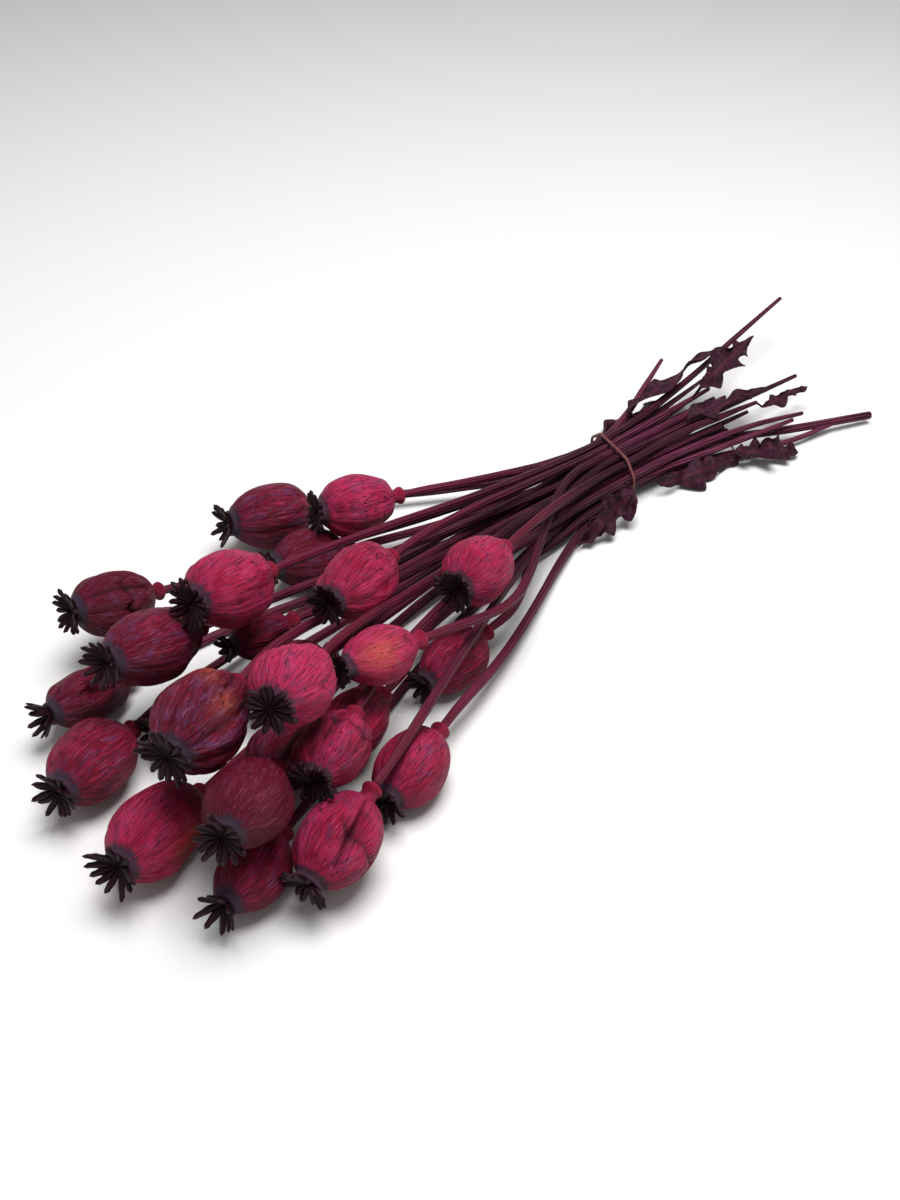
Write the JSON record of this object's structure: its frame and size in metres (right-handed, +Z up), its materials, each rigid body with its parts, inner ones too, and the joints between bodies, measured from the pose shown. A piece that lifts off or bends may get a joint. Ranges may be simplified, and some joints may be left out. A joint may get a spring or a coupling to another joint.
{
  "type": "bunch of poppy seed heads",
  "caption": "Tied bunch of dried, dyed poppy seed heads lying on its side: ribbed round capsules with star-shaped crowns on long bare stems, with withered leaves by the cut ends.",
  "frame": {"origin": "on the surface the bunch lies on, under the middle of its bounding box", "axes": "+Z up from the surface, +X along the bunch from the cut ends towards the seed heads"},
  "size_m": [0.5694, 0.2384, 0.0924],
  "materials": {
    "seed_head": "dry dyed capsule, satin",
    "stem": "dry ribbed stem, satin",
    "leaf": "withered leaf, matt",
    "tie_band": "thin elastic band, matt"
  },
  "bodies": {
    "root": {"seed_head_01": "seed_head", "seed_head_02": "seed_head", "seed_head_03": "seed_head", "seed_head_04": "seed_head", "seed_head_05": "seed_head", "seed_head_06": "seed_head", "seed_head_07": "seed_head", "seed_head_08": "seed_head", "seed_head_09": "seed_head", "seed_head_10": "seed_head", "seed_head_11": "seed_head", "seed_head_12": "seed_head", "seed_head_13": "seed_head", "seed_head_14": "seed_head", "seed_head_15": "seed_head", "seed_head_16": "seed_head", "seed_head_17": "seed_head", "seed_head_18": "seed_head", "seed_head_19": "seed_head", "seed_head_20": "seed_head", "seed_head_21": "seed_head", "seed_head_22": "seed_head", "seed_head_23": "seed_head", "seed_head_24": "seed_head", "seed_head_25": "seed_head", "stem_01": "stem", "stem_02": "stem", "stem_03": "stem", "stem_04": "stem", "stem_05": "stem", "stem_06": "stem", "stem_07": "stem", "stem_08": "stem", "stem_09": "stem", "stem_10": "stem", "stem_11": "stem", "stem_12": "stem", "stem_13": "stem", "stem_14": "stem", "stem_15": "stem", "stem_16": "stem", "stem_17": "stem", "stem_18": "stem", "stem_19": "stem", "stem_20": "stem", "stem_21": "stem", "stem_22": "stem", "stem_23": "stem", "stem_24": "stem", "stem_25": "stem", "leaf_front": "leaf", "leaf_near": "leaf", "leaf_near_tip": "leaf", "leaf_far": "leaf", "leaf_top": "leaf", "leaf_middle": "leaf", "leaf_end": "leaf", "leaf_back": "leaf", "tie_band": "tie_band"}
  },
  "joints": []
}
